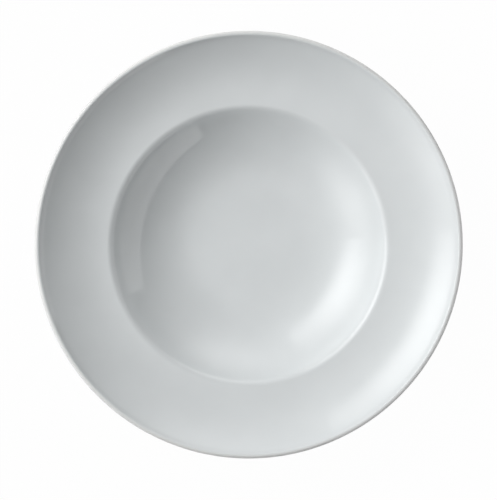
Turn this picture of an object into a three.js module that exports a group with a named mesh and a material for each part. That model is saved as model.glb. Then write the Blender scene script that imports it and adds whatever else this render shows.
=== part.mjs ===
// Pasta plate: a round porcelain plate with a deep well and a wide dished rim.
// The fired body is bare where the foot ring stands, and coated with clear-white glaze everywhere else.
// Millimetres, +Z up. The origin is the centre of the circle that the foot ring stands on.
import * as THREE from 'three';

// Driving dimensions. Heights and thicknesses are those of the finished plate, glaze included.
const PLATE_DIAMETER = 300;
const WELL_DIAMETER = 201; // measured at the middle of the round shoulder between well and rim
const FLOOR_DIAMETER = 76; // flat middle of the well
const WELL_DEPTH = 27; // from the crest of the shoulder down to the floor
const RIM_RISE = 16.6; // from the crest of the shoulder up to the top of the lip
const RIM_START_SLOPE = 3; // degrees, where the rim leaves the shoulder
const SHOULDER_RADIUS = 8;
const RIM_THICKNESS = 3.7;
const LIP_PROUD = 0.4; // how far the lip's round bead stands above the rim's face
const LIP_HOLLOW_RADIUS = 20; // of the hollow between the rim's face and the bead
const WALL_THICKNESS = 4.6;
const FLOOR_THICKNESS = 5;
const UNDER_RIM_FILLET = 12;
const GLAZE_THICKNESS = 0.25;

// Driving dimensions of the bare foot ring
const FOOT_DIAMETER = 116;
const FOOT_WIDTH = 4;
const FOOT_HEIGHT = 3.2; // from the table up to the glazed recess inside the ring
const FOOT_EDGE_RADIUS = 0.8;
const FOOT_OUTER_FILLET = 2.5;
const FOOT_INNER_FILLET = 1.5;

// Fineness of the facets
const FACETS_AROUND = 60;
const ARC_TOLERANCE = 0.2; // greatest distance from an arc to its chords

const polar = (centre, radius, angle) => new THREE.Vector2(
  centre.x + radius * Math.cos(angle),
  centre.y + radius * Math.sin(angle),
);

/** Where two circles cross, on the right of the way from the first centre to the second. */
function crossing(first, firstRadius, second, secondRadius) {
  const between = second.clone().sub(first);
  const unit = between.clone().normalize();
  const along = (firstRadius ** 2 - secondRadius ** 2 + between.lengthSq()) / (2 * between.length());
  const across = Math.sqrt(firstRadius ** 2 - along ** 2);
  return first.clone()
    .addScaledVector(unit, along)
    .addScaledVector(new THREE.Vector2(unit.y, -unit.x), across);
}

/** Slope of the surface where two tangent arcs meet, from the upper arc's centre and the lower one's. */
const slopeBetween = (upper, lower) => Math.atan2(lower.x - upper.x, upper.y - lower.y);

/** Section of the plate as arcs in the plane of radius (x) and height (y), each tangent to the next. */
function sectionArcs() {
  const floorRadius = FLOOR_DIAMETER / 2;
  const floorHeight = FOOT_HEIGHT + FLOOR_THICKNESS;
  const crestHeight = floorHeight + WELL_DEPTH;
  const lipRadius = (RIM_THICKNESS + LIP_PROUD) / 2;

  // The wall leaves the floor level and ends on the shoulder: distance between centres = sum of radii.
  const shoulder = new THREE.Vector2(WELL_DIAMETER / 2, crestHeight - SHOULDER_RADIUS);
  const run = shoulder.x - floorRadius;
  const climb = shoulder.y - floorHeight;
  const wallRadius = (run ** 2 + climb ** 2 - SHOULDER_RADIUS ** 2) / (2 * (climb + SHOULDER_RADIUS));
  const wall = new THREE.Vector2(floorRadius, floorHeight + wallRadius);
  const wallSlope = slopeBetween(wall, shoulder);

  // The rim leaves the shoulder at its start slope, and its thickness just holds the lip's bead, less what
  // stands proud. The hollow touches the rim from inside and the bead from outside.
  const startSlope = THREE.MathUtils.degToRad(RIM_START_SLOPE);
  const startNormal = new THREE.Vector2(-Math.sin(startSlope), Math.cos(startSlope));
  const rimStart = shoulder.clone().addScaledVector(startNormal, SHOULDER_RADIUS);
  const lip = new THREE.Vector2(PLATE_DIAMETER / 2 - lipRadius, crestHeight + RIM_RISE - lipRadius);
  const span = lip.clone().sub(rimStart);
  const sunk = lipRadius - LIP_PROUD;
  const rimRadius = (span.lengthSq() - sunk ** 2) / (2 * (span.dot(startNormal) + sunk));
  const rim = rimStart.clone().addScaledVector(startNormal, rimRadius);
  const hollow = crossing(rim, rimRadius - LIP_HOLLOW_RADIUS, lip, LIP_HOLLOW_RADIUS + lipRadius);
  const rimSlope = slopeBetween(rim, hollow);
  const hollowSlope = slopeBetween(hollow, lip);
  const lipSlope = slopeBetween(rim, lip);

  // A fillet joins the undersides of rim and wall: its centre is where two enlarged circles cross.
  const fromRim = rimRadius + RIM_THICKNESS + UNDER_RIM_FILLET;
  const fromWall = wallRadius + WALL_THICKNESS + UNDER_RIM_FILLET;
  const armpit = crossing(wall, fromWall, rim, fromRim);
  const rimUnderEnd = Math.atan2(armpit.y - rim.y, armpit.x - rim.x);
  const wallUnderStart = Math.atan2(armpit.y - wall.y, armpit.x - wall.x);

  // A second fillet joins the underside of the wall to the outer side of the foot ring.
  const footOutside = FOOT_DIAMETER / 2 + GLAZE_THICKNESS;
  const footInside = FOOT_DIAMETER / 2 - FOOT_WIDTH - GLAZE_THICKNESS;
  const heelRun = Math.max(0, footOutside + FOOT_OUTER_FILLET - wall.x);
  const heelReach = wallRadius + WALL_THICKNESS + FOOT_OUTER_FILLET;
  const heel = new THREE.Vector2(
    footOutside + FOOT_OUTER_FILLET,
    wall.y - Math.sqrt(heelReach ** 2 - heelRun ** 2),
  );
  const wallUnderEnd = -Math.acos(heelRun / heelReach);
  const recess = new THREE.Vector2(footInside - FOOT_INNER_FILLET, FOOT_HEIGHT - FOOT_INNER_FILLET);

  // side is +1 where the centre lies in the air and -1 where it lies in the porcelain.
  const quarter = Math.PI / 2;
  const face = [
    { centre: wall, radius: wallRadius, from: -quarter, to: wallSlope - quarter, side: 1 },
    {
      centre: shoulder,
      radius: SHOULDER_RADIUS,
      from: wallSlope + quarter,
      to: startSlope + quarter,
      side: -1,
    },
    { centre: rim, radius: rimRadius, from: startSlope - quarter, to: rimSlope - quarter, side: 1 },
    {
      centre: hollow,
      radius: LIP_HOLLOW_RADIUS,
      from: rimSlope - quarter,
      to: hollowSlope - quarter,
      side: 1,
    },
    { centre: lip, radius: lipRadius, from: hollowSlope + quarter, to: 0, side: -1 },
  ];
  const underside = [
    { centre: lip, radius: lipRadius, from: 0, to: lipSlope - quarter, side: -1 },
    { centre: rim, radius: rimRadius + RIM_THICKNESS, from: lipSlope - quarter, to: rimUnderEnd, side: -1 },
    {
      centre: armpit,
      radius: UNDER_RIM_FILLET,
      from: rimUnderEnd + Math.PI,
      to: wallUnderStart + Math.PI,
      side: 1,
    },
    { centre: wall, radius: wallRadius + WALL_THICKNESS, from: wallUnderStart, to: wallUnderEnd, side: -1 },
    { centre: heel, radius: FOOT_OUTER_FILLET, from: wallUnderEnd + Math.PI, to: Math.PI, side: 1 },
  ];
  const recessCorner = [{ centre: recess, radius: FOOT_INNER_FILLET, from: 0, to: quarter, side: 1 }];
  return { floorHeight, face, underside, recessCorner };
}

/** Points along a chain of arcs, pushed into the porcelain by inset. */
function arcPoints(arcs, inset) {
  const points = [];
  for (const { centre, radius, from, to, side } of arcs) {
    const step = 2 * Math.acos(Math.max(0, 1 - ARC_TOLERANCE / radius));
    const steps = Math.max(1, Math.ceil(Math.abs(to - from) / step));
    for (let i = points.length ? 1 : 0; i <= steps; i += 1) {
      points.push(polar(centre, radius + side * inset, from + ((to - from) * i) / steps));
    }
  }
  return points;
}

const section = sectionArcs();

/** Eating side, from the middle of the floor out to the lip. */
const facePoints = (inset) => [
  new THREE.Vector2(0, section.floorHeight - inset),
  ...arcPoints(section.face, inset),
];

/** Underside, from the lip in to the outer side of the foot ring. */
const undersidePoints = (inset) => arcPoints(section.underside, inset);

/** Recess inside the foot ring, from the ring's inner side to the axis. */
const recessPoints = (inset) => [
  ...arcPoints(section.recessCorner, inset),
  new THREE.Vector2(0, FOOT_HEIGHT + inset),
];

/** Bare foot ring, down its outer side, across the face that stands on the table and up its inner side. */
function footPoints() {
  const outside = FOOT_DIAMETER / 2;
  const inside = outside - FOOT_WIDTH;
  const outerEdge = new THREE.Vector2(outside - FOOT_EDGE_RADIUS, FOOT_EDGE_RADIUS);
  const innerEdge = new THREE.Vector2(inside + FOOT_EDGE_RADIUS, FOOT_EDGE_RADIUS);
  const rounded = (centre, from) => arcPoints(
    [{ centre, radius: FOOT_EDGE_RADIUS, from, to: from - Math.PI / 2, side: -1 }],
    0,
  );
  return [...rounded(outerEdge, 0), ...rounded(innerEdge, -Math.PI / 2)];
}

/** A mesh turned from a section that runs clockwise, with the turning axis along +Z. */
function turned(name, points, material) {
  const geometry = new THREE.LatheGeometry([...points].reverse(), FACETS_AROUND);
  geometry.rotateX(Math.PI / 2);
  const mesh = new THREE.Mesh(geometry, material);
  mesh.name = name;
  return mesh;
}

const BISQUE = new THREE.MeshStandardMaterial({ color: 0xe9e4da, roughness: 0.75, metalness: 0 });
const FACE_GLAZE = new THREE.MeshStandardMaterial({ color: 0xeff2f3, roughness: 0.08, metalness: 0 });
const BACK_GLAZE = new THREE.MeshStandardMaterial({ color: 0xedf0f0, roughness: 0.14, metalness: 0 });

function porcelainBody() {
  const points = [
    ...facePoints(GLAZE_THICKNESS),
    ...undersidePoints(GLAZE_THICKNESS).slice(1),
    ...footPoints(),
    ...recessPoints(GLAZE_THICKNESS),
  ];
  return turned('porcelain_body', points, BISQUE);
}

function faceGlaze() {
  const points = [...facePoints(0), ...facePoints(GLAZE_THICKNESS).reverse()];
  return turned('face_glaze', points, FACE_GLAZE);
}

function undersideGlaze() {
  const outer = undersidePoints(0);
  const points = [...outer, ...undersidePoints(GLAZE_THICKNESS).reverse(), outer[0]];
  return turned('underside_glaze', points, BACK_GLAZE);
}

function recessGlaze() {
  const points = [...recessPoints(GLAZE_THICKNESS).reverse(), ...recessPoints(0)];
  return turned('recess_glaze', points, BACK_GLAZE);
}

const plate = new THREE.Group();
plate.add(porcelainBody(), faceGlaze(), undersideGlaze(), recessGlaze());

export default plate;
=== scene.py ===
"""Pasta plate of glazed white porcelain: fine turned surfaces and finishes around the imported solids."""
import math

import bpy
import numpy as np
from mathutils import Matrix, Vector


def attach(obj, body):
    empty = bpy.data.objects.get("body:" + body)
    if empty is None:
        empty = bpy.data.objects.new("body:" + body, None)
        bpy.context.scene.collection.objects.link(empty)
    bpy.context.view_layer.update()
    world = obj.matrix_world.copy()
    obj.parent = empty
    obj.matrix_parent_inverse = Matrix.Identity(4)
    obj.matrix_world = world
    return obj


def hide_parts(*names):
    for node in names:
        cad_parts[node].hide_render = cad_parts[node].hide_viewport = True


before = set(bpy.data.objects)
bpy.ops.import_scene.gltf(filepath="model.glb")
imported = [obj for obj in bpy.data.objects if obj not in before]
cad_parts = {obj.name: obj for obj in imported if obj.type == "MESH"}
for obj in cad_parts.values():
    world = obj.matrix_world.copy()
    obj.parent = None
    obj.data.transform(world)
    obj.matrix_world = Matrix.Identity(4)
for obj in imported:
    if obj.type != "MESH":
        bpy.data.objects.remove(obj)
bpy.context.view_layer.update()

MM = 0.001
QUARTER = math.pi / 2

# Sizes of the finished plate in millimetres, glaze included: the driving sizes of the solids
PLATE_DIAMETER = 300.0
WELL_DIAMETER = 201.0
FLOOR_DIAMETER = 76.0
WELL_DEPTH = 27.0
RIM_RISE = 16.6
RIM_START_SLOPE = math.radians(3.0)
SHOULDER_RADIUS = 8.0
RIM_THICKNESS = 3.7
LIP_PROUD = 0.4
LIP_HOLLOW_RADIUS = 20.0
WALL_THICKNESS = 4.6
FLOOR_THICKNESS = 5.0
UNDER_RIM_FILLET = 12.0
GLAZE_THICKNESS = 0.25
FOOT_DIAMETER = 116.0
FOOT_WIDTH = 4.0
FOOT_HEIGHT = 3.2
FOOT_EDGE_RADIUS = 0.8
FOOT_OUTER_FILLET = 2.5
FOOT_INNER_FILLET = 1.5

# What firing and glazing add, in millimetres
RIM_WARP = 0.12
WARP_TOWARDS = math.radians(35.0)
GLAZE_RUN = 0.6
RECESS_GLAZE_RUN = 0.2
GLAZE_RUN_WAVE = 0.16
GLAZE_WAVES = ((5, 1.0, 0.7), (11, 0.6, 2.1), (23, 0.35, 4.4))  # waves in a turn, share, start

# Fineness of the turned surfaces
SECTORS = 320
SHOWN = {"spacing": 1.2, "turn": math.radians(2.5), "rings": 10}
HIDDEN = {"spacing": 4.0, "turn": math.radians(12.0), "rings": 3}
BEAD_POINTS = 9
SHARP_EDGE = math.radians(40.0)

PLATE_RADIUS = PLATE_DIAMETER / 2
FOOT_RADIUS = FOOT_DIAMETER / 2
LIP_RADIUS = (RIM_THICKNESS + LIP_PROUD) / 2
FLOOR_HEIGHT = FOOT_HEIGHT + FLOOR_THICKNESS
CREST_HEIGHT = FLOOR_HEIGHT + WELL_DEPTH
LIP_HEIGHT = CREST_HEIGHT + RIM_RISE - LIP_RADIUS


def crossing(first, first_radius, second, second_radius):
    """Where two circles cross, on the right of the way from the first centre to the second."""
    between = second - first
    apart = np.hypot(*between)
    along = (first_radius**2 - second_radius**2 + apart**2) / (2 * apart)
    across = math.sqrt(first_radius**2 - along**2)
    return first + (along * between + across * np.array([between[1], -between[0]])) / apart


def slope_between(upper, lower):
    """Slope of the surface where two tangent arcs meet, from the upper arc's centre and the lower one's."""
    return math.atan2(lower[0] - upper[0], upper[1] - lower[1])


def plate_section():
    """Arcs of the finished section in the plane of radius and height, each tangent to the next.

    An arc is (centre, radius, first angle, last angle, side). Side is +1 where the centre lies in the air,
    so that the porcelain under the glaze has the larger radius, and -1 where it lies in the porcelain.
    The well's wall leaves the floor level and touches the shoulder: the distance between their centres is
    the sum of their radii. The rim leaves the shoulder at its start slope, and its thickness just holds the
    lip's bead, less what stands proud. The hollow touches the rim from inside and the bead from outside.
    Fillets stand where circles enlarged by the fillet's radius cross.
    """
    floor_edge = np.array([FLOOR_DIAMETER / 2, FLOOR_HEIGHT])
    shoulder = np.array([WELL_DIAMETER / 2, CREST_HEIGHT - SHOULDER_RADIUS])
    run, climb = shoulder - floor_edge
    wall_radius = (run**2 + climb**2 - SHOULDER_RADIUS**2) / (2 * (climb + SHOULDER_RADIUS))
    wall = floor_edge + [0, wall_radius]
    wall_slope = slope_between(wall, shoulder)

    start_normal = np.array([-math.sin(RIM_START_SLOPE), math.cos(RIM_START_SLOPE)])
    rim_start = shoulder + SHOULDER_RADIUS * start_normal
    lip = np.array([PLATE_RADIUS - LIP_RADIUS, LIP_HEIGHT])
    span = lip - rim_start
    sunk = LIP_RADIUS - LIP_PROUD
    rim_radius = (span @ span - sunk**2) / (2 * (span @ start_normal + sunk))
    rim = rim_start + rim_radius * start_normal
    hollow = crossing(rim, rim_radius - LIP_HOLLOW_RADIUS, lip, LIP_HOLLOW_RADIUS + LIP_RADIUS)
    rim_slope = slope_between(rim, hollow)
    hollow_slope = slope_between(hollow, lip)
    lip_slope = slope_between(rim, lip)

    from_rim = rim_radius + RIM_THICKNESS + UNDER_RIM_FILLET
    from_wall = wall_radius + WALL_THICKNESS + UNDER_RIM_FILLET
    armpit = crossing(wall, from_wall, rim, from_rim)
    rim_under_end = math.atan2(*(armpit - rim)[::-1])
    wall_under_start = math.atan2(*(armpit - wall)[::-1])

    foot_outside = FOOT_RADIUS + GLAZE_THICKNESS
    foot_inside = FOOT_RADIUS - FOOT_WIDTH - GLAZE_THICKNESS
    heel_run = foot_outside + FOOT_OUTER_FILLET - wall[0]
    heel_reach = wall_radius + WALL_THICKNESS + FOOT_OUTER_FILLET
    heel = np.array([wall[0] + heel_run, wall[1] - math.sqrt(heel_reach**2 - heel_run**2)])
    wall_under_end = -math.acos(heel_run / heel_reach)
    recess = np.array([foot_inside, FOOT_HEIGHT]) - FOOT_INNER_FILLET

    face = [
        (wall, wall_radius, -QUARTER, wall_slope - QUARTER, 1),
        (shoulder, SHOULDER_RADIUS, wall_slope + QUARTER, RIM_START_SLOPE + QUARTER, -1),
        (rim, rim_radius, RIM_START_SLOPE - QUARTER, rim_slope - QUARTER, 1),
        (hollow, LIP_HOLLOW_RADIUS, rim_slope - QUARTER, hollow_slope - QUARTER, 1),
        (lip, LIP_RADIUS, hollow_slope + QUARTER, 0.0, -1),
    ]
    underside = [
        (lip, LIP_RADIUS, 0.0, lip_slope - QUARTER, -1),
        (rim, rim_radius + RIM_THICKNESS, lip_slope - QUARTER, rim_under_end, -1),
        (armpit, UNDER_RIM_FILLET, rim_under_end + math.pi, wall_under_start + math.pi, 1),
        (wall, wall_radius + WALL_THICKNESS, wall_under_start, wall_under_end, -1),
        (heel, FOOT_OUTER_FILLET, wall_under_end + math.pi, math.pi, 1),
    ]
    corner = [(recess, FOOT_INNER_FILLET, 0.0, QUARTER, 1)]
    return face, underside, corner


FACE, UNDERSIDE, RECESS_CORNER = plate_section()


def line_of(radius, height, waviness=0.0):
    """Section points as rows of radius, height and how far the point follows the glaze's wavy end."""
    return np.stack(np.broadcast_arrays(radius, height, waviness), axis=1)


def trace(arcs, inset, fineness):
    """Section points along a chain of arcs, pushed into the porcelain by inset.

    Each arc is cut evenly, so that neither the spacing nor the turn between two points passes its limit.
    """
    chain = []
    for centre, radius, first, last, side in arcs:
        steps = math.ceil(abs(last - first) / min(fineness["turn"], fineness["spacing"] / radius))
        angle = np.linspace(first, last, steps + 1)[len(chain) > 0:]
        reach = radius + side * inset
        chain.append(line_of(centre[0] + reach * np.cos(angle), centre[1] + reach * np.sin(angle)))
    return np.concatenate(chain)


def face_line(inset, fineness):
    """Eating side: rings across the flat floor from the axis, then the arcs out to the lip."""
    arcs = trace(FACE, inset, fineness)
    rings = np.linspace(0, arcs[0, 0], fineness["rings"])[:-1]
    return np.concatenate([line_of(rings, FLOOR_HEIGHT - inset), arcs])


def recess_line(inset, fineness):
    """Recess inside the foot ring: the corner's arc, then rings across the flat ceiling to the axis."""
    arcs = trace(RECESS_CORNER, inset, fineness)
    rings = np.linspace(arcs[-1, 0], 0, fineness["rings"])[1:]
    return np.concatenate([arcs, line_of(rings, FOOT_HEIGHT + inset)])


def foot_line():
    """Bare foot ring: two quarter circles round its lower edges, joined by the flat face it stands on."""
    outer = (FOOT_RADIUS - FOOT_EDGE_RADIUS, FOOT_EDGE_RADIUS)
    inner = (FOOT_RADIUS - FOOT_WIDTH + FOOT_EDGE_RADIUS, FOOT_EDGE_RADIUS)
    rounds = [
        trace([(centre, FOOT_EDGE_RADIUS, first, first - QUARTER, -1)], 0, SHOWN)
        for centre, first in ((outer, 0.0), (inner, -QUARTER))
    ]
    return np.concatenate(rounds)


def bead(top, inwards, run, waviness):
    """Rounded end of a glaze coat that has run down the foot's side from the point top.

    A quarter circle of the glaze's thickness, which turns towards the bare body and follows the wavy end.
    """
    angle = np.linspace(0, QUARTER, BEAD_POINTS)
    radius = top[0] - inwards * GLAZE_THICKNESS * (1 - np.cos(angle))
    height = top[1] - run - GLAZE_THICKNESS * np.sin(angle)
    return line_of(radius, height, waviness)


def fired_warp(radius, angle):
    """Height added by firing: two lifts and two dips a turn, by the square of the reach past the foot."""
    reach = np.clip((radius - FOOT_RADIUS) / (PLATE_RADIUS - FOOT_RADIUS), 0, None)
    return RIM_WARP * reach**2 * np.cos(2 * (angle - WARP_TOWARDS))


def glaze_wave(angle):
    """Uneven end of the glaze round the foot: a sum of waves that repeat a whole number of times a turn."""
    return GLAZE_RUN_WAVE * sum(share * np.sin(count * angle + start) for count, share, start in GLAZE_WAVES)


def turned(name, line):
    """A section carried round the Z axis: x = r cos a, y = r sin a, z = h + warp(r, a) + waviness wave(a).

    The line runs clockwise, with the porcelain on its right. It starts and ends on the axis, where a ring
    shrinks to one point, or it closes on itself.
    """
    on_axis = line[0, 0] == 0
    radius, height, waviness = np.split(line[1:-1] if on_axis else line, 3, axis=1)
    angle = np.arange(SECTORS) * 2 * math.pi / SECTORS
    height = height + fired_warp(radius, angle) + waviness * glaze_wave(angle)
    points = np.stack([radius * np.cos(angle), radius * np.sin(angle), height], axis=2).reshape(-1, 3)

    near = np.arange(len(points)).reshape(-1, SECTORS)
    far = np.roll(near, -1, axis=1)
    quads = np.stack([near, np.roll(near, -1, axis=0), np.roll(far, -1, axis=0), far], axis=2)
    faces = (quads[:-1] if on_axis else quads).reshape(-1, 4).tolist()
    if on_axis:
        first, last = np.full(SECTORS, len(points)), np.full(SECTORS, len(points) + 1)
        points = np.concatenate([points, [[0, 0, line[0, 1]], [0, 0, line[-1, 1]]]])
        faces += np.stack([first, near[0], far[0]], axis=1).tolist()
        faces += np.stack([near[-1], last, far[-1]], axis=1).tolist()

    mesh = bpy.data.meshes.new(name)
    mesh.from_pydata((points * MM).tolist(), [], faces)
    mesh.shade_smooth()
    mesh.set_sharp_from_angle(angle=SHARP_EDGE)
    piece = bpy.data.objects.new(name, mesh)
    bpy.context.scene.collection.objects.link(piece)
    return piece


def bare_porcelain():
    """Fired body: under the glaze all round, bare on the foot ring."""
    return turned("bare_porcelain", np.concatenate([
        face_line(GLAZE_THICKNESS, HIDDEN),
        trace(UNDERSIDE, GLAZE_THICKNESS, HIDDEN)[1:],
        foot_line(),
        recess_line(GLAZE_THICKNESS, HIDDEN),
    ]))


def glaze_on_face():
    """Glass coat from the middle of the floor to the lip's outermost line."""
    return turned("glaze_on_face", np.concatenate([
        face_line(0, SHOWN),
        face_line(GLAZE_THICKNESS, HIDDEN)[::-1],
    ]))


def glaze_on_underside():
    """Glass coat from the lip's outermost line down to its bead on the foot's outer side."""
    shown = trace(UNDERSIDE, 0, SHOWN)
    return turned("glaze_on_underside", np.concatenate([
        shown,
        bead(shown[-1], 1, GLAZE_RUN, 1.0),
        trace(UNDERSIDE, GLAZE_THICKNESS, HIDDEN)[::-1],
    ]))


def glaze_in_recess():
    """Glass coat over the recess inside the foot ring, down to its bead on the foot's inner side."""
    shown = recess_line(0, SHOWN)
    return turned("glaze_in_recess", np.concatenate([
        recess_line(GLAZE_THICKNESS, HIDDEN)[::-1],
        bead(shown[0], -1, RECESS_GLAZE_RUN, 0.5)[::-1],
        shown,
    ]))


# Materials

# Sockets of a Mix node by number, as their names repeat: for colours, and for plain numbers
FACTOR, COLOUR_A, COLOUR_B, COLOUR_OUT = 0, 6, 7, 2
NUMBER_A, NUMBER_B, NUMBER_OUT = 2, 3, 0


def linear(colour):
    """An sRGB hex colour as linear red, green and blue, with alpha 1."""
    srgb = np.array([int(colour[i:i + 2], 16) for i in (1, 3, 5)]) / 255
    light = np.where(srgb <= 0.04045, srgb / 12.92, ((srgb + 0.055) / 1.055) ** 2.4)
    return (*light.tolist(), 1.0)


def scale_for(size):
    """Texture scale that gives features of a size in millimetres on coordinates in metres."""
    return 1 / (size * MM)


def add(tree, kind, sockets, **settings):
    """Adds a node with its settings, and gives each input a value or a link from another node's output."""
    node = tree.nodes.new(kind)
    for name, value in settings.items():
        setattr(node, name, value)
    for name, value in sockets.items():
        if isinstance(value, bpy.types.NodeSocket):
            tree.links.new(value, node.inputs[name])
        else:
            node.inputs[name].default_value = value
    return node


def blank_material(name):
    """A material with an empty node tree, and that tree."""
    material = bpy.data.materials.new(name)
    material.use_nodes = True
    material.node_tree.nodes.clear()
    return material, material.node_tree


# Patterns of the glaze in millimetres, the orange peel a few times coarser than the real one so that it shows
CLOUD_SIZE = 38.0
RIPPLE_SIZE, RIPPLE_HEIGHT = 26.0, 0.010
PEEL_SIZE, PEEL_HEIGHT = 4.5, 0.0012
GLOSS_SIZE = 12.0

# Where the glaze starts to thin and where it is thinnest, in millimetres from the outline, and by how much:
# a paler lip, partly thin glaze and partly painted light that lifts the lip's shaded edge
LIP_THIN_AND_PAINTED_LIGHT_FROM, LIP_THIN_AND_PAINTED_LIGHT_TO, LIP_THIN_AND_PAINTED_LIGHT_SHARE = 3.6, 0.6, 0.8
GLAZE_IOR = 1.5


def fired_glaze(name, colour, cloud_colour, thin_glaze_and_painted_light_colour, roughness):
    """Clear feldspar glaze fired onto white porcelain: a glassy coat with a faint ripple and orange peel.

    It pulls thin over the lip, where the paler, warmer body shows through; that paler lip colour is also
    painted light, which lifts the lip's shaded edge. It lies a little unevenly elsewhere, which clouds its
    white.
    """
    material, tree = blank_material(name)
    place = add(tree, "ShaderNodeTexCoord", {}).outputs["Object"]

    clouds = add(tree, "ShaderNodeTexNoise", {
        "Vector": place, "Scale": scale_for(CLOUD_SIZE), "Detail": 2.0,
    })
    cloudy = add(tree, "ShaderNodeMapRange", {
        "Value": clouds.outputs["Fac"], "From Min": 0.35, "From Max": 0.65,
    })
    white = add(tree, "ShaderNodeMix", {
        FACTOR: cloudy.outputs["Result"], COLOUR_A: linear(colour), COLOUR_B: linear(cloud_colour),
    }, data_type="RGBA")

    flat = add(tree, "ShaderNodeVectorMath", {0: place, 1: (1, 1, 0)}, operation="MULTIPLY")
    radius = add(tree, "ShaderNodeVectorMath", {0: flat.outputs["Vector"]}, operation="LENGTH")
    # Paler towards the lip: thin glaze, and painted light that lifts the lip's shaded edge
    thin_glaze_and_painted_light = add(tree, "ShaderNodeMapRange", {
        "Value": radius.outputs["Value"],
        "From Min": (PLATE_RADIUS - LIP_THIN_AND_PAINTED_LIGHT_FROM) * MM, "From Max": (PLATE_RADIUS - LIP_THIN_AND_PAINTED_LIGHT_TO) * MM,
        "To Max": LIP_THIN_AND_PAINTED_LIGHT_SHARE,
    }, interpolation_type="SMOOTHSTEP")
    coat = add(tree, "ShaderNodeMix", {
        FACTOR: thin_glaze_and_painted_light.outputs["Result"], COLOUR_A: white.outputs[COLOUR_OUT], COLOUR_B: linear(thin_glaze_and_painted_light_colour),
    }, data_type="RGBA")

    haze = add(tree, "ShaderNodeTexNoise", {
        "Vector": place, "Scale": scale_for(GLOSS_SIZE), "Detail": 3.0,
    })
    gloss = add(tree, "ShaderNodeMapRange", {
        "Value": haze.outputs["Fac"], "From Min": 0.3, "From Max": 0.7,
        "To Min": roughness * 0.75, "To Max": roughness * 1.35,
    })
    ripple = add(tree, "ShaderNodeTexNoise", {
        "Vector": place, "Scale": scale_for(RIPPLE_SIZE), "Detail": 1.0,
    })
    rippled = add(tree, "ShaderNodeBump", {
        "Height": ripple.outputs["Fac"], "Distance": RIPPLE_HEIGHT * MM, "Strength": 1.0,
    })
    peel = add(tree, "ShaderNodeTexNoise", {
        "Vector": place, "Scale": scale_for(PEEL_SIZE), "Detail": 1.0,
    })
    peeled = add(tree, "ShaderNodeBump", {
        "Height": peel.outputs["Fac"], "Distance": PEEL_HEIGHT * MM, "Strength": 1.0,
        "Normal": rippled.outputs["Normal"],
    })
    shader = add(tree, "ShaderNodeBsdfPrincipled", {
        "Base Color": coat.outputs[COLOUR_OUT], "Roughness": gloss.outputs["Result"],
        "IOR": GLAZE_IOR, "Normal": peeled.outputs["Normal"],
    })
    add(tree, "ShaderNodeOutputMaterial", {"Surface": shader.outputs["BSDF"]})
    return material


# Patterns of the bare porcelain in millimetres, and the wave texture's own period at a scale of 1
GRAIN_SIZE, GRAIN_HEIGHT = 0.5, 0.02
GRINDING_SPACING, GRINDING_HEIGHT = 0.7, 0.012
STAIN_SIZE = 9.0
WAVE_PERIOD = math.pi / 10
PORCELAIN_IOR = 1.5


def ground_bisque():
    """Bare fired porcelain, ground smooth: matt, warm white, finely grained, marked round the foot ring."""
    material, tree = blank_material("ground_bisque_porcelain")
    place = add(tree, "ShaderNodeTexCoord", {}).outputs["Object"]
    stains = add(tree, "ShaderNodeTexNoise", {
        "Vector": place, "Scale": scale_for(STAIN_SIZE), "Detail": 4.0,
    })
    stained = add(tree, "ShaderNodeMapRange", {
        "Value": stains.outputs["Fac"], "From Min": 0.35, "From Max": 0.7,
    })
    colour = add(tree, "ShaderNodeMix", {
        FACTOR: stained.outputs["Result"], COLOUR_A: linear("#e6e0d5"), COLOUR_B: linear("#d8d0c2"),
    }, data_type="RGBA")
    grain = add(tree, "ShaderNodeTexNoise", {
        "Vector": place, "Scale": scale_for(GRAIN_SIZE), "Detail": 2.0,
    })
    grained = add(tree, "ShaderNodeBump", {
        "Height": grain.outputs["Fac"], "Distance": GRAIN_HEIGHT * MM, "Strength": 1.0,
    })
    marks = add(tree, "ShaderNodeTexWave", {
        "Vector": place, "Scale": WAVE_PERIOD * scale_for(GRINDING_SPACING),
        "Distortion": 1.5, "Detail": 2.0,
    }, wave_type="RINGS", rings_direction="Z")
    marked = add(tree, "ShaderNodeBump", {
        "Height": marks.outputs["Fac"], "Distance": GRINDING_HEIGHT * MM, "Strength": 1.0,
        "Normal": grained.outputs["Normal"],
    })
    rough = add(tree, "ShaderNodeMapRange", {
        "Value": grain.outputs["Fac"], "From Min": 0.3, "From Max": 0.7, "To Min": 0.66, "To Max": 0.86,
    })
    shader = add(tree, "ShaderNodeBsdfPrincipled", {
        "Base Color": colour.outputs[COLOUR_OUT], "Roughness": rough.outputs["Result"],
        "IOR": PORCELAIN_IOR, "Normal": marked.outputs["Normal"],
    })
    add(tree, "ShaderNodeOutputMaterial", {"Surface": shader.outputs["BSDF"]})
    return material


# Pieces

# Each glaze's third colour is its paler lip: thin glaze, and painted light that lifts the lip's shaded edge
face_white = fired_glaze("fired_glaze_face", "#e9edee", "#e6eaeb", "#f1f1ef", 0.055)
back_white = fired_glaze("fired_glaze_back", "#e7ebeb", "#e3e7e7", "#ecebe8", 0.085)
for piece, node, slot, material in (
    (bare_porcelain(), "porcelain_body", "bisque_porcelain", ground_bisque()),
    (glaze_on_face(), "face_glaze", "face_glaze", face_white),
    (glaze_on_underside(), "underside_glaze", "back_glaze", back_white),
    (glaze_in_recess(), "recess_glaze", "back_glaze", back_white),
):
    piece.data.materials.append(material)
    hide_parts(node)
    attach(piece, "root")


# Camera: nearly overhead, leaning towards the front, so that image right is +X and image up is +Y

IMAGE_SIZE = (497, 500)
OUTLINE_CENTRE = (248.7, 244.1)
OUTLINE_RADIUS = 214.1
CAMERA_LEAN = math.radians(2.5)
CAMERA_DISTANCE = 2400.0
SENSOR = 36.0


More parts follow.
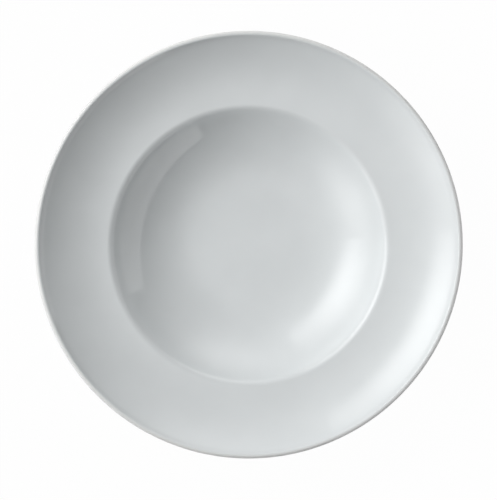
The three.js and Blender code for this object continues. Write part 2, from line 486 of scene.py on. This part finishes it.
def overhead_camera():
    """Camera over the rim's plane, moved sideways so that the plate's outline falls on its pixels."""
    per_pixel = PLATE_RADIUS / OUTLINE_RADIUS
    back = Vector((0, -math.sin(CAMERA_LEAN), math.cos(CAMERA_LEAN)))
    right = Vector((1, 0, 0))
    up = Vector((0, math.cos(CAMERA_LEAN), math.sin(CAMERA_LEAN)))
    aside = (OUTLINE_CENTRE[0] - IMAGE_SIZE[0] / 2) * per_pixel
    ahead = (OUTLINE_CENTRE[1] - IMAGE_SIZE[1] / 2) * per_pixel
    place = Vector((0, 0, LIP_HEIGHT)) + back * CAMERA_DISTANCE - right * aside + up * ahead
    lens = bpy.data.cameras.new("camera")
    lens.sensor_width = SENSOR
    lens.lens = SENSOR * CAMERA_DISTANCE / (max(IMAGE_SIZE) * per_pixel)
    camera = bpy.data.objects.new("camera", lens)
    camera.matrix_world = Matrix.Translation(place * MM) @ Matrix((right, up, back)).transposed().to_4x4()
    bpy.context.scene.collection.objects.link(camera)
    bpy.context.scene.camera = camera


# Studio: a pale floor, white to the eye all round, and soft light mostly from the left

FLOOR_SIDE = 8.0  # metres
FLOOR_WHITE = 0.98
HORIZON_FADE = math.sin(math.radians(2.0))

# Distances from the axis, in millimetres, between which the floor turns from its real shadow to white
SHADOW_FROM, SHADOW_TO = 60.0, 150.0

# Soft glows of the room: azimuth from +X towards +Y, angle from straight above and spread, in degrees, then
# brightness in the middle
GLOWS = {
    "key": (154.0, 55.0, 14.0, 2.55),
    "key_low": (156.0, 63.0, 12.0, 0.4),
    "left_side": (202.0, 60.0, 14.0, 2.6),
    "far_side": (78.0, 66.0, 15.0, 1.9),
    "overhead": (265.0, 12.0, 14.0, 1.16),
}

# Upright sheets, in metres: azimuth in degrees, distance, shift to the left as seen from the plate, height
# of the lower edge, width, height, brightness as light on the plate and in its reflection, and the spread
# across and up of the glow on an uneven one
SHEETS = {
    "diffuser": (146.65, 2.5, 0.0, 0.9, 3.354, 2.8, 2.9, 2.7, (1.4, 0.7)),
    "white_card": (-15.0, 0.37, -0.07, 0.0, 0.76, 0.308, 0.24, 1.3, None),
}

# A sheet's image stands just ahead of its light, as two lamps in one place would hide each other, in metres
IMAGE_AHEAD = 0.002


def seen_directly(tree):
    """1 for rays from the camera, off gloss or through glass, and 0 for scattered light."""
    path = add(tree, "ShaderNodeLightPath", {})
    both = add(tree, "ShaderNodeMath", {
        0: path.outputs["Is Camera Ray"], 1: path.outputs["Is Glossy Ray"],
    }, operation="ADD")
    every = add(tree, "ShaderNodeMath", {
        0: both.outputs["Value"], 1: path.outputs["Is Transmission Ray"],
    }, operation="ADD", use_clamp=True)
    return every.outputs["Value"]


def pale_floor():
    """White paper, with its real shadow under the plate, white to the eye past the lip, clear from below."""
    material, tree = blank_material("white_paper")
    place = add(tree, "ShaderNodeTexCoord", {}).outputs["Object"]
    reach = add(tree, "ShaderNodeVectorMath", {0: place}, operation="LENGTH")
    bright = add(tree, "ShaderNodeMapRange", {
        "Value": reach.outputs["Value"], "From Min": SHADOW_FROM * MM, "From Max": SHADOW_TO * MM,
        "To Max": FLOOR_WHITE,
    }, interpolation_type="SMOOTHSTEP")
    whiteness = add(tree, "ShaderNodeMath", {
        0: seen_directly(tree), 1: bright.outputs["Result"],
    }, operation="MULTIPLY")
    paper = add(tree, "ShaderNodeBsdfDiffuse", {"Color": linear("#e8e8e8")})
    glow = add(tree, "ShaderNodeEmission", {"Color": (1, 1, 1, 1), "Strength": 1.0})
    sheet = add(tree, "ShaderNodeMixShader", {
        0: whiteness.outputs["Value"], 1: paper.outputs["BSDF"], 2: glow.outputs["Emission"],
    })
    clear = add(tree, "ShaderNodeBsdfTransparent", {})
    surface = add(tree, "ShaderNodeMixShader", {
        0: add(tree, "ShaderNodeNewGeometry", {}).outputs["Backfacing"],
        1: sheet.outputs["Shader"], 2: clear.outputs["BSDF"],
    })
    add(tree, "ShaderNodeOutputMaterial", {"Surface": surface.outputs["Shader"]})
    half = FLOOR_SIDE / 2
    corners = [(-half, -half, 0), (half, -half, 0), (half, half, 0), (-half, half, 0)]
    mesh = bpy.data.meshes.new("floor")
    mesh.from_pydata(corners, [], [(0, 1, 2, 3)])
    mesh.materials.append(material)
    floor = bpy.data.objects.new("floor", mesh)
    bpy.context.scene.collection.objects.link(floor)


def heading(azimuth, lean):
    """Unit vector at an azimuth from +X towards +Y and an angle from straight above, both in degrees."""
    azimuth, lean = math.radians(azimuth), math.radians(lean)
    return Vector((math.sin(lean) * math.cos(azimuth), math.sin(lean) * math.sin(azimuth), math.cos(lean)))


def room_glow(tree, direction):
    """Sum of the glows, each brightness times exp((cos(angle from its middle) - 1) / spread squared)."""
    total = 0.0
    for azimuth, lean, spread, brightness in GLOWS.values():
        sharpness = 1 / math.radians(spread) ** 2
        facing = add(tree, "ShaderNodeVectorMath", {
            0: direction, 1: heading(azimuth, lean),
        }, operation="DOT_PRODUCT")
        power = add(tree, "ShaderNodeMath", {
            0: facing.outputs["Value"], 1: sharpness, 2: math.log(brightness) - sharpness,
        }, operation="MULTIPLY_ADD")
        bell = add(tree, "ShaderNodeMath", {0: power.outputs["Value"]}, operation="EXPONENT")
        both = add(tree, "ShaderNodeMath", {0: bell.outputs["Value"], 1: total}, operation="ADD")
        total = both.outputs["Value"]
    return total


def studio_world():
    """White to the eye and, in reflections, below the horizon; for other rays, the room's soft glows."""
    world = bpy.data.worlds.new("studio")
    world.use_nodes = True
    tree = world.node_tree
    tree.nodes.clear()
    direction = add(tree, "ShaderNodeTexCoord", {}).outputs["Generated"]
    height = add(tree, "ShaderNodeSeparateXYZ", {"Vector": direction}).outputs["Z"]
    below = add(tree, "ShaderNodeMapRange", {
        "Value": height, "From Min": 0.0, "From Max": HORIZON_FADE, "To Min": 1.0, "To Max": 0.0,
    })
    light = add(tree, "ShaderNodeMath", {
        0: below.outputs["Result"], 1: seen_directly(tree), 2: room_glow(tree, direction),
    }, operation="MULTIPLY_ADD")
    path = add(tree, "ShaderNodeLightPath", {})
    strength = add(tree, "ShaderNodeMix", {
        FACTOR: path.outputs["Is Camera Ray"], NUMBER_A: light.outputs["Value"], NUMBER_B: 1.0,
    }, data_type="FLOAT")
    sky = add(tree, "ShaderNodeBackground", {
        "Color": (1, 1, 1, 1), "Strength": strength.outputs[NUMBER_OUT],
    })
    add(tree, "ShaderNodeOutputWorld", {"Surface": sky.outputs["Background"]})
    bpy.context.scene.world = world


def rectangle_lamp(name, place, out, width, height, brightness):
    """A rectangular lamp whose back points out; its watts are its brightness times pi times its area."""
    lamp = bpy.data.lights.new(name, "AREA")
    lamp.shape = "RECTANGLE"
    lamp.size, lamp.size_y = width, height
    lamp.energy = brightness * math.pi * width * height
    box = bpy.data.objects.new(name, lamp)
    box.rotation_mode = "QUATERNION"
    box.rotation_quaternion = out.to_track_quat("Z", "Y")
    box.location = place
    box.visible_camera = False
    bpy.context.scene.collection.objects.link(box)
    return box


def fade_out(lamp, across, upward):
    """Dims a lamp towards its edges: exp(-d d / 2), with d the distance from the middle in spreads."""
    lamp.use_nodes = True
    tree = lamp.node_tree
    tree.nodes.clear()
    place = add(tree, "ShaderNodeTexCoord", {}).outputs["UV"]
    away = add(tree, "ShaderNodeVectorMath", {
        0: place, 1: (lamp.size / across, lamp.size_y / upward, 0),
        2: (-lamp.size / 2 / across, -lamp.size_y / 2 / upward, 0),
    }, operation="MULTIPLY_ADD")
    square = add(tree, "ShaderNodeVectorMath", {
        0: away.outputs["Vector"], 1: away.outputs["Vector"],
    }, operation="DOT_PRODUCT")
    half = add(tree, "ShaderNodeMath", {0: square.outputs["Value"], 1: -0.5}, operation="MULTIPLY")
    bell = add(tree, "ShaderNodeMath", {0: half.outputs["Value"]}, operation="EXPONENT")
    glow = add(tree, "ShaderNodeEmission", {"Color": (1, 1, 1, 1), "Strength": bell.outputs["Value"]})
    add(tree, "ShaderNodeOutputLight", {"Surface": glow.outputs["Emission"]})


def studio_lamps():
    """Lit upright sheets that face the plate: one lamp of each lights it, one shows only in the glaze."""
    for name, (azimuth, distance, aside, foot, width, height, lit, mirrored, spread) in SHEETS.items():
        out = heading(azimuth, 90)
        place = distance * out + aside * Vector((-out.y, out.x, 0)) + Vector((0, 0, foot + height / 2))
        light = rectangle_lamp(name, place, out, width, height, lit)
        light.visible_glossy = False
        image = rectangle_lamp(name + "_image", place - IMAGE_AHEAD * out, out, width, height, mirrored)
        image.visible_diffuse = False
        if spread:
            fade_out(light.data, *spread)
            fade_out(image.data, *spread)


overhead_camera()
pale_floor()
studio_world()
studio_lamps()
bpy.context.scene.view_settings.view_transform = "Standard"
